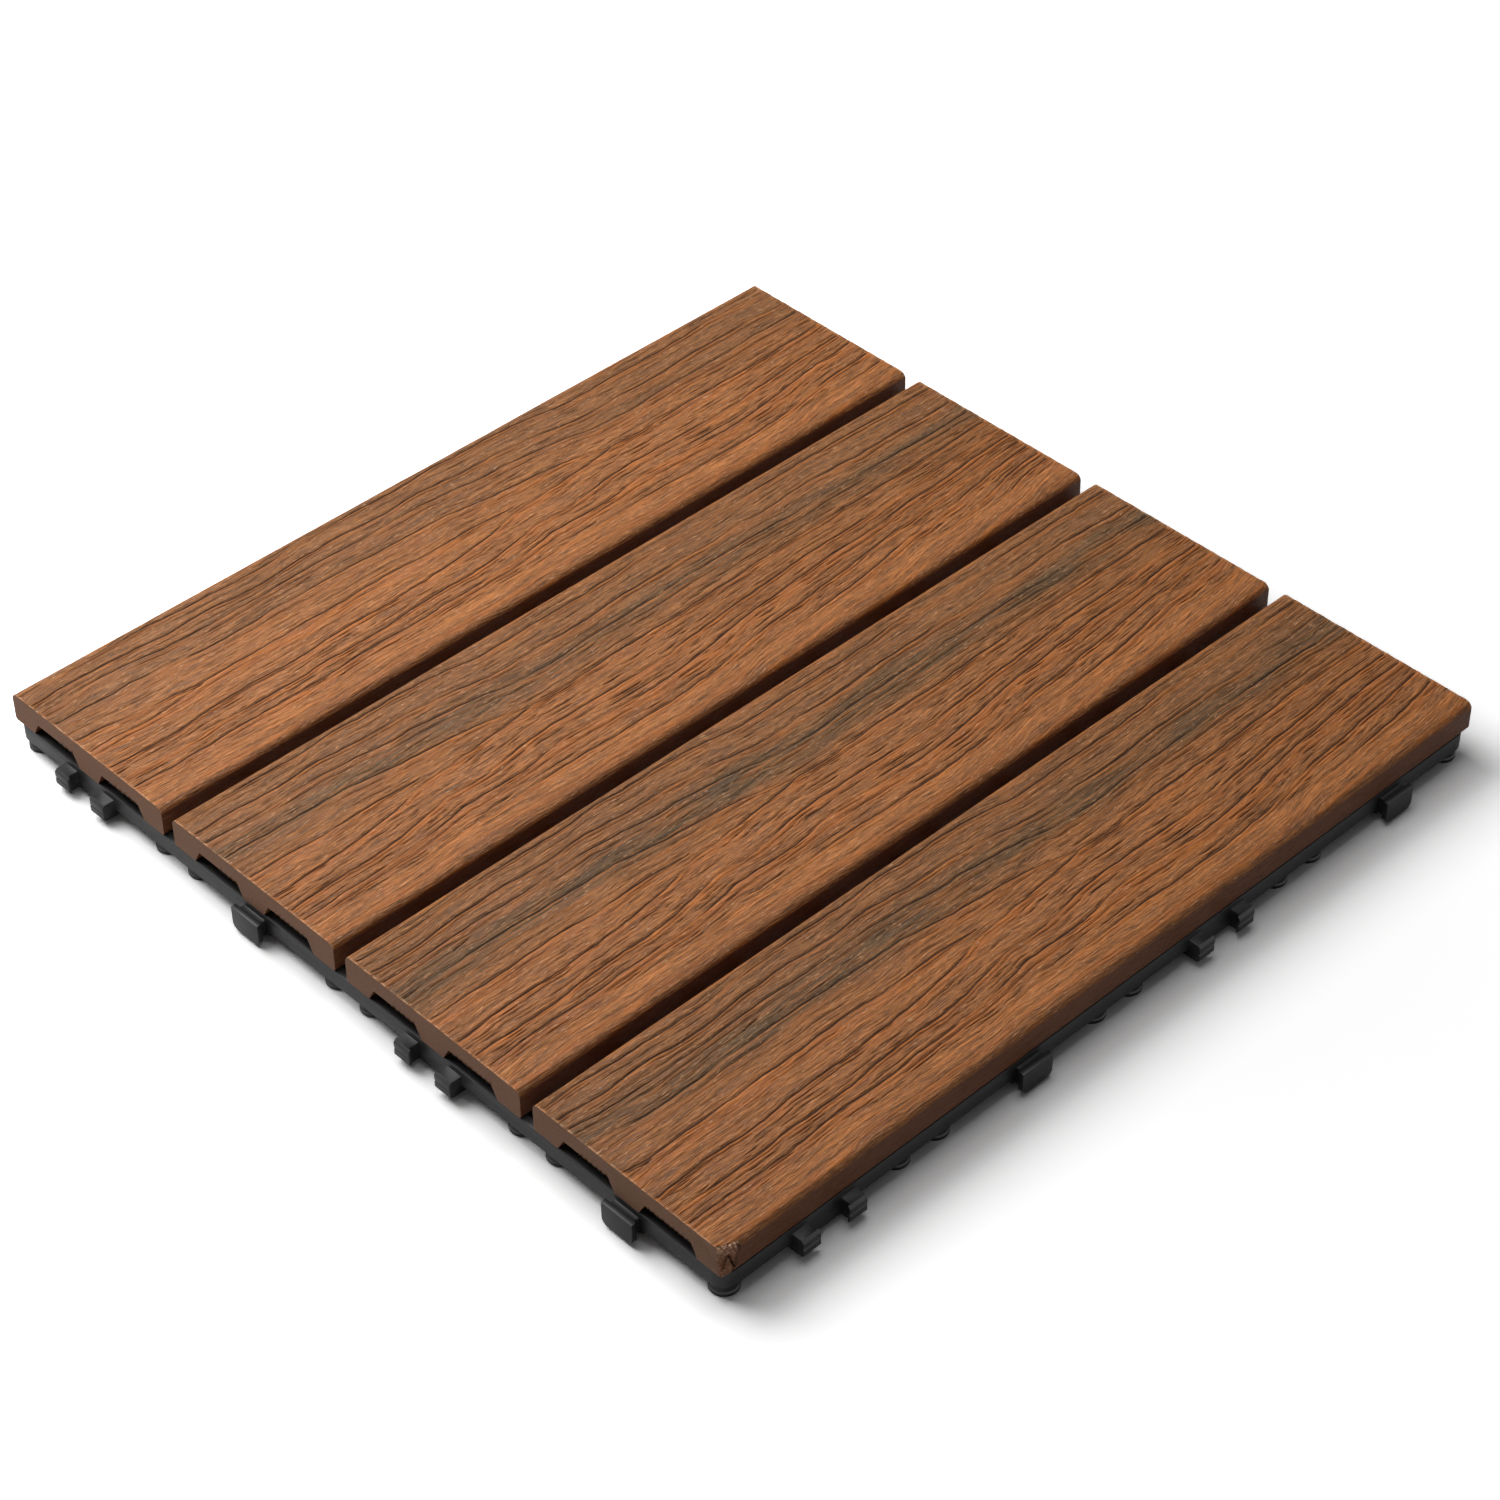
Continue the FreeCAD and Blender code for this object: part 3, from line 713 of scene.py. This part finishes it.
# %% Finish of the break
BREAK_DARK = "#7C5039"
BREAK_PALE = "#E0B494"
CRUMB_SIZE = 0.7 * MM
CRUMB_RANGE = (0.38, 0.62)
PALE_HEIGHT = (16.5 * MM, 18.8 * MM, 0.25, 1.0)

broken = new_material("broken_composite")
tree = broken.node_tree
where = add(tree, "ShaderNodeTexCoord").outputs["Object"]
crumb = patches(tree, where, [CRUMB_SIZE] * 3, 3.0)
crumb = add(tree, MAP_RANGE, [crumb, *CRUMB_RANGE])
height = add(tree, SEPARATE, [where]).outputs["Z"]
near_top = add(tree, MAP_RANGE, [height, *PALE_HEIGHT])
paleness = add(tree, MATH, [crumb, near_top], operation="MULTIPLY")
tone = add(tree, MIX, {
    "Factor": paleness, "A": linear(BREAK_DARK), "B": linear(BREAK_PALE)}, **COLOUR)
surface = add(tree, "ShaderNodeBsdfPrincipled", {
    "Base Color": tone, "Roughness": 0.85, "IOR": 1.5, "Specular IOR Level": 0.2})
add(tree, "ShaderNodeOutputMaterial", {"Surface": surface})

# %% [markdown]
# ## The broken corner
# The last slat has lost its front right corner, and two cracks meet below the break. The CAD slat
# has the break with plain faces. A real break is crumbled, so here the missing piece and the
# cracks are blocks with divided and roughened faces, and Booleans take them off the slat. Sculpted
# vertices would do, too, but a Boolean hands the block's own finish to the new faces.

# %% Take the corner off
BREAK_ROUGHNESS = 0.25 * MM
BREAK_GRAIN = 1.3 * MM
# Each block has its eight corners in millimetres, four below and four above, and its cuts
BREAK_BLOCKS = {
    "missing_corner": ([
        (148.2, -151.9, 9), (149.6, -149.0, 9), (150.6, -146.4, 9), (154, -152, 9),
        (145.6, -153.3, 21), (148.3, -147.4, 21), (151.0, -141.2, 21), (157, -152, 21),
    ], 26),
    "crack_left": ([
        (147.4, -149.4, 12.4), (147.4, -148.6, 12.4), (152, -148.6, 12.4), (152, -149.4, 12.4),
        (146.8, -147.9, 16.4), (146.8, -147.2, 16.4), (152, -147.2, 16.4), (152, -147.9, 16.4),
    ], 9),
    "crack_right": ([
        (147.8, -146.3, 11.6), (147.8, -145.5, 11.6), (152, -145.5, 11.6), (152, -146.3, 11.6),
        (146.8, -147.7, 16.4), (146.8, -147.0, 16.4), (152, -147.0, 16.4), (152, -147.7, 16.4),
    ], 9),
}


def roughened_block(name, corners, cuts):
    """Block on eight corners in millimetres, four below and four above, with crumbled faces."""
    mesh = bpy.data.meshes.new(name)
    sides = [(0, 3, 2, 1), (4, 5, 6, 7)]
    sides += [(i, (i + 1) % 4, (i + 1) % 4 + 4, i + 4) for i in range(4)]
    mesh.from_pydata([Vector(corner) * MM for corner in corners], [], sides)
    shape = bmesh.new()
    shape.from_mesh(mesh)
    bmesh.ops.subdivide_edges(shape, edges=shape.edges, cuts=cuts, use_grid_fill=True)
    bmesh.ops.recalc_face_normals(shape, faces=shape.faces)
    for vertex in shape.verts:
        spot = vertex.co / BREAK_GRAIN
        rough = noise.noise(spot) + 0.5 * noise.noise(spot * 2.3)
        vertex.co += vertex.normal * rough * BREAK_ROUGHNESS
    shape.to_mesh(mesh)
    shape.free()
    mesh.materials.append(broken)
    return in_scene(name, mesh)


broken_slat = slat_pieces["slat_4"]
for block_name, (corners, cuts) in BREAK_BLOCKS.items():
    block = roughened_block(block_name, corners, cuts)
    cut = broken_slat.modifiers.new(block_name, "BOOLEAN")
    cut.operation = "DIFFERENCE"
    cut.solver = "MANIFOLD"
    cut.material_mode = "TRANSFER"
    cut.object = block
    carry_out(broken_slat)
    bpy.data.objects.remove(block)
broken_slat.data.set_sharp_from_angle(angle=SLAT_SHARP_ANGLE)
print("broken slat", len(broken_slat.data.polygons), "faces")

# %% [markdown]
# ## Torn crumbs along the break
# Along the upper ridge of the break the composite was torn up into small pale crumbs. Particles
# could scatter hundreds, but the photograph shows about six, so each is a small ball in its own
# place, whose points are moved in or out by noise. They sink into the ridge that holds them.

# %% Torn crumbs
# Each crumb is a place on the ridge and a radius, in millimetres
CRUMBS = [
    (147.7, -149.4, 19.3, 0.45), (148.2, -148.4, 19.25, 0.6), (148.6, -147.6, 19.4, 0.45),
    (148.9, -146.6, 19.3, 0.6), (149.4, -145.5, 19.35, 0.5), (149.6, -144.6, 19.4, 0.35),
]
LUMP_SIZE = 0.4 * MM
LUMP_HEIGHT = 0.6
CRUMB_SHARE = 0.9

shape = bmesh.new()
for x, y, z, radius in CRUMBS:
    centre = Vector((x, y, z)) * MM
    crumb_vertices = bmesh.ops.create_icosphere(
        shape, subdivisions=3, radius=radius * MM, matrix=Matrix.Translation(centre))["verts"]
    for vertex in crumb_vertices:
        share = CRUMB_SHARE + LUMP_HEIGHT * noise.noise(vertex.co / LUMP_SIZE)
        vertex.co = centre + (vertex.co - centre) * share
crumbs_mesh = bpy.data.meshes.new("torn_crumbs")
shape.to_mesh(crumbs_mesh)
shape.free()
crumbs_mesh.materials.append(broken)
crumbs_mesh.shade_smooth()
crumbs = in_scene("torn_crumbs", crumbs_mesh)
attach(crumbs, "root")
print(len(CRUMBS), "crumbs", len(crumbs_mesh.polygons), "faces")

# %% [markdown]
# ## Stand for the CAD slats
# The slats could be shown over the CAD ones, but the plain tops would then fill the grooves. So
# each embossed slat takes a plain one's place, and the CAD keeps its own for collision, hidden.

# %% Stand for the CAD slats
for name, piece in slat_pieces.items():
    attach(piece, "root")
    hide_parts(name)
print("replaced", ", ".join(slat_pieces))

# %% [markdown]
# ## Black moulded base
# The base is injection moulded polypropylene, coloured black. A fine spark eroded texture in the
# mould leaves it satin, so it shows broad grey reflections where it faces the light. The texture
# is finer than a render shows, so it is drawn half a millimetre coarse.

# %% Finish of the base
PLASTIC_BLACK = "#161617"
MOULD_TEXTURE = 0.5 * MM
MOULD_BUMP = 0.05 * MM

plastic = new_material("black_polypropylene")
tree = plastic.node_tree
where = add(tree, "ShaderNodeTexCoord").outputs["Object"]
texture = patches(tree, where, [MOULD_TEXTURE] * 3, 2.0)
bump = add(tree, "ShaderNodeBump", {"Height": texture, "Strength": 0.25, "Distance": MOULD_BUMP})
surface = add(tree, "ShaderNodeBsdfPrincipled", {
    "Base Color": linear(PLASTIC_BLACK), "Roughness": 0.42, "IOR": 1.49, "Normal": bump})
add(tree, "ShaderNodeOutputMaterial", {"Surface": surface})

# %% [markdown]
# ## Soft edges
# No moulding has sharp edges. The CAD base has them, because rounding them all would make it
# heavy, so a copy gets a small bevel on every edge that turns by more than 35 degrees. The copy's
# loose triangles are merged first, or the bevel would find no edges between them. Its foot soles
# are lifted a little, so that they don't share a plane with the round feet that cover them.

# %% Bevelled copy of the base
EDGE_SOFTNESS = 0.25 * MM
BEVEL_ANGLE = math.radians(35)
BASE_SHARP_ANGLE = math.radians(40)
MERGE_DISTANCE = 0.001 * MM
FLAT_ANGLE = math.radians(1)
SOLE_LIFT = 0.2 * MM
FOOT_ZONE = 140 * MM

base_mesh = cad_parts["base_grid"].data.copy()
shape = bmesh.new()
shape.from_mesh(base_mesh)
bmesh.ops.remove_doubles(shape, verts=shape.verts, dist=MERGE_DISTANCE)
bmesh.ops.dissolve_limit(
    shape, angle_limit=FLAT_ANGLE, verts=shape.verts, edges=shape.edges,
    use_dissolve_boundaries=False)
for vertex in shape.verts:
    if vertex.co.z < SOLE_LIFT / 2 and max(abs(vertex.co.x), abs(vertex.co.y)) > FOOT_ZONE:
        vertex.co.z = SOLE_LIFT
shape.to_mesh(base_mesh)
shape.free()
base_piece = in_scene("moulded_base", base_mesh)
bevel = base_piece.modifiers.new("soft_edges", "BEVEL")
bevel.width = EDGE_SOFTNESS
bevel.segments = 2
bevel.limit_method = "ANGLE"
bevel.angle_limit = BEVEL_ANGLE
bevel.use_clamp_overlap = True
carry_out(base_piece)
base_piece.data.shade_smooth()
base_piece.data.set_sharp_from_angle(angle=BASE_SHARP_ANGLE)
base_piece.data.materials.clear()
base_piece.data.materials.append(plastic)
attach(base_piece, "root")
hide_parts("base_grid")
print("base", len(base_piece.data.polygons), "faces")

# %% [markdown]
# ## Round feet
# The tile stands on 28 round feet under its rim, each with a wider sole. The CAD feet are
# twelve-sided, to keep them light, and round ones cover them. Feet repeat, so Geometry Nodes make
# one, a circle swept up a line whose width follows a curve, and put it at each place.

# %% Feet by Geometry Nodes
FOOT_LINES = [-145.075, -83.7, -68.8, -7.4, 7.4, 68.8, 83.7, 145.075]
FOOT_HEIGHT = 5.0 * MM
FOOT_RADIUS = 4.3 * MM
FOOT_RINGS, FOOT_SIDES = 28, 36
# Part of the way up and share of the radius there: sole, step and neck
FOOT_PROFILE = [(0.0, 0.93), (0.05, 1.0), (0.27, 1.0), (0.31, 0.9), (1.0, 0.9)]

feet_tree, feet_ids, given = geometry_tree("round_feet", {
    "Places": "Geometry", "Height": "Float", "Radius": "Float", "Finish": "Material"})
foot_top = add(feet_tree, COMBINE, {"Z": given["Height"]})
foot_axis = add(feet_tree, "GeometryNodeCurvePrimitiveLine", {"End": foot_top})
foot_axis = add(feet_tree, "GeometryNodeResampleCurve", {"Curve": foot_axis, "Count": FOOT_RINGS})
along_foot = add(feet_tree, "GeometryNodeSplineParameter").outputs["Factor"]
side_profile = add(feet_tree, "ShaderNodeFloatCurve", {"Value": along_foot})
profile_curve = side_profile.mapping.curves[0]
while len(profile_curve.points) < len(FOOT_PROFILE):
    profile_curve.points.new(0.5, 0.5)
for point, (part_way, share) in zip(profile_curve.points, FOOT_PROFILE):
    point.location = (part_way, share)
    point.handle_type = "VECTOR"
side_profile.mapping.update()
foot_circle = add(feet_tree, "GeometryNodeCurvePrimitiveCircle", {
    "Resolution": FOOT_SIDES, "Radius": given["Radius"]})
foot = add(feet_tree, "GeometryNodeCurveToMesh", {
    "Curve": foot_axis, "Profile Curve": foot_circle.outputs["Curve"], "Scale": side_profile,
    "Fill Caps": True})
feet_flow = add(feet_tree, "GeometryNodeInstanceOnPoints", {
    "Points": given["Places"], "Instance": foot})
feet_flow = add(feet_tree, "GeometryNodeRealizeInstances", {"Geometry": feet_flow})
feet_flow = add(feet_tree, "GeometryNodeSetMaterial", {
    "Geometry": feet_flow, "Material": given["Finish"]})
add(feet_tree, "NodeGroupOutput", [feet_flow])

feet_mesh = bpy.data.meshes.new("foot_places")
foot_places = [
    (x * MM, y * MM, 0) for x in FOOT_LINES for y in FOOT_LINES
    if max(abs(x), abs(y)) * MM > FOOT_ZONE
]
feet_mesh.from_pydata(foot_places, [], [])
feet_piece = in_scene("round_feet", feet_mesh)
run_tree(feet_piece, feet_tree, feet_ids, {
    "Height": FOOT_HEIGHT, "Radius": FOOT_RADIUS, "Finish": plastic})
feet_piece.data.shade_smooth()
feet_piece.data.set_sharp_from_angle(angle=BASE_SHARP_ANGLE)
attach(feet_piece, "root")
print(len(foot_places), "feet", len(feet_piece.data.polygons), "faces")

# %% [markdown]
# ## Screws
# The screws are steel with a thin coat of zinc, which keeps rust off and looks pale and slightly
# cloudy. Their CAD shape has its head and cross recess, so it stays and only gets its finish.

# %% Finish of the screws
ZINC_DARK = "#A4A8AC"
ZINC_PALE = "#CDD0D2"
ZINC_CLOUD = 0.7 * MM
ZINC_ROUGHNESS = (0.3, 0.7, 0.28, 0.42)

zinc = new_material("zinc_plated_steel")
tree = zinc.node_tree
where = add(tree, "ShaderNodeTexCoord").outputs["Object"]
cloudy = patches(tree, where, [ZINC_CLOUD] * 3, 3.0)
tone = add(tree, MIX, {"Factor": cloudy, "A": linear(ZINC_DARK), "B": linear(ZINC_PALE)}, **COLOUR)
roughness = add(tree, MAP_RANGE, [cloudy, *ZINC_ROUGHNESS])
surface = add(tree, "ShaderNodeBsdfPrincipled", {
    "Base Color": tone, "Metallic": 1.0, "Roughness": roughness})
add(tree, "ShaderNodeOutputMaterial", {"Surface": surface})
screw_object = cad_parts["slat_screws"]
screw_object.data.materials.clear()
screw_object.data.materials.append(zinc)
print("finish of", screw_object.name)

# %% [markdown]
# ## Floor
# The tile lies on a white ground, which clears to plain white a little way off and keeps a soft
# shadow on the right. More light would do that, but it would wash the tile out. So the floor is a
# little grey to the lamps' light and whiter to the camera the further off it is, and beyond the
# shadow the camera sees plain white.

# %% Floor
FLOOR_HALF = 4.0
FLOOR_GREY = 0.8
# Range of distance from the tile in metres, and what the camera sees of the floor there
FLOOR_WHITER = (0.17, 0.5, 1.42, 2.6)
FLOOR_FADE = (0.3, 0.55)

floor_mesh = bpy.data.meshes.new("floor")
floor_corners = [(-1, -1), (1, -1), (1, 1), (-1, 1)]
floor_mesh.from_pydata(
    [(x * FLOOR_HALF, y * FLOOR_HALF, 0) for x, y in floor_corners], [], [(0, 1, 2, 3)])
floor = in_scene("floor", floor_mesh)
white_floor = new_material("white_floor")
tree = white_floor.node_tree
seen = add(tree, "ShaderNodeLightPath").outputs["Is Camera Ray"]
where = add(tree, "ShaderNodeTexCoord").outputs["Object"]
from_tile = add(tree, VECTOR_MATH, [where], operation="LENGTH").outputs["Value"]
seen_floor = add(tree, MAP_RANGE, [from_tile, *FLOOR_WHITER])
floor_tone = add(tree, MIX, {"Factor": seen, "A": FLOOR_GREY, "B": seen_floor}, data_type="FLOAT")
lit_floor = add(tree, "ShaderNodeBsdfDiffuse", {"Color": floor_tone})
plain_white = add(tree, "ShaderNodeEmission", {"Color": (1.0, 1.0, 1.0, 1.0), "Strength": 1.0})
far_off = add(tree, MAP_RANGE, [from_tile, *FLOOR_FADE])
far_off = add(tree, MATH, [far_off, seen], operation="MULTIPLY")
surface = add(tree, "ShaderNodeMixShader", {"Fac": far_off, 1: lit_floor, 2: plain_white})
add(tree, "ShaderNodeOutputMaterial", {"Surface": surface})
floor_mesh.materials.append(white_floor)
print("floor of", 2 * FLOOR_HALF, "m")

# %% [markdown]
# ## Light
# In the photograph a large soft light stands on the left, and the tile's right side is dark. A
# picture of a studio could light it, but three plain lamps are easier to set: a key lamp on the
# left, a weaker one overhead, and a pale board behind the tile that only gives the front of the
# slats their sheen. The world is white to the camera and in reflections, and nearly dark to the
# rest, so that the shadow keeps its depth.

# %% World and lamps
WORLD_LIGHT = 0.08
# Each lamp has its place, its direction, its size in metres and its power in watts
LAMPS = {
    "key": ((-0.499, -0.195, 0.628), (0.3, 0.087, -1.0), (0.68, 0.6), 6.4),
    "overhead": ((-0.016, -0.007, 0.705), (0.0, 0.0, -1.0), (0.4, 0.4), 1.2),
    "sheen_board": ((-0.52, 0.2, 0.66), (0.52, -0.34, -0.66), (0.45, 0.45), 3.0),
}

world = bpy.data.worlds.new("studio")
bpy.context.scene.world = world
world.use_nodes = True
tree = world.node_tree
tree.nodes.clear()
ray = add(tree, "ShaderNodeLightPath").outputs
seen = add(tree, MATH, [ray["Is Camera Ray"], ray["Is Transmission Ray"]], operation="MAXIMUM")
seen = add(tree, MATH, [seen, ray["Is Glossy Ray"]], operation="MAXIMUM")
strength = add(tree, MAP_RANGE, [seen, 0.0, 1.0, WORLD_LIGHT, 1.0])
background = add(tree, "ShaderNodeBackground", {
    "Color": (1.0, 1.0, 1.0, 1.0), "Strength": strength})
add(tree, "ShaderNodeOutputWorld", {"Surface": background})

for lamp_name, (lamp_place, direction, size, power) in LAMPS.items():
    lamp_data = bpy.data.lights.new(lamp_name, "AREA")
    lamp_data.shape = "RECTANGLE"
    lamp_data.size, lamp_data.size_y = size
    lamp_data.energy = power
    lamp = in_scene(lamp_name, lamp_data)
    turn = Vector(direction).to_track_quat("-Z", "Y").to_matrix().to_4x4()
    lamp.matrix_world = Matrix.Translation(lamp_place) @ turn
    lamp.visible_diffuse = lamp_name != "sheen_board"
bpy.context.scene.view_settings.view_transform = "Standard"
print(len(LAMPS), "lamps")
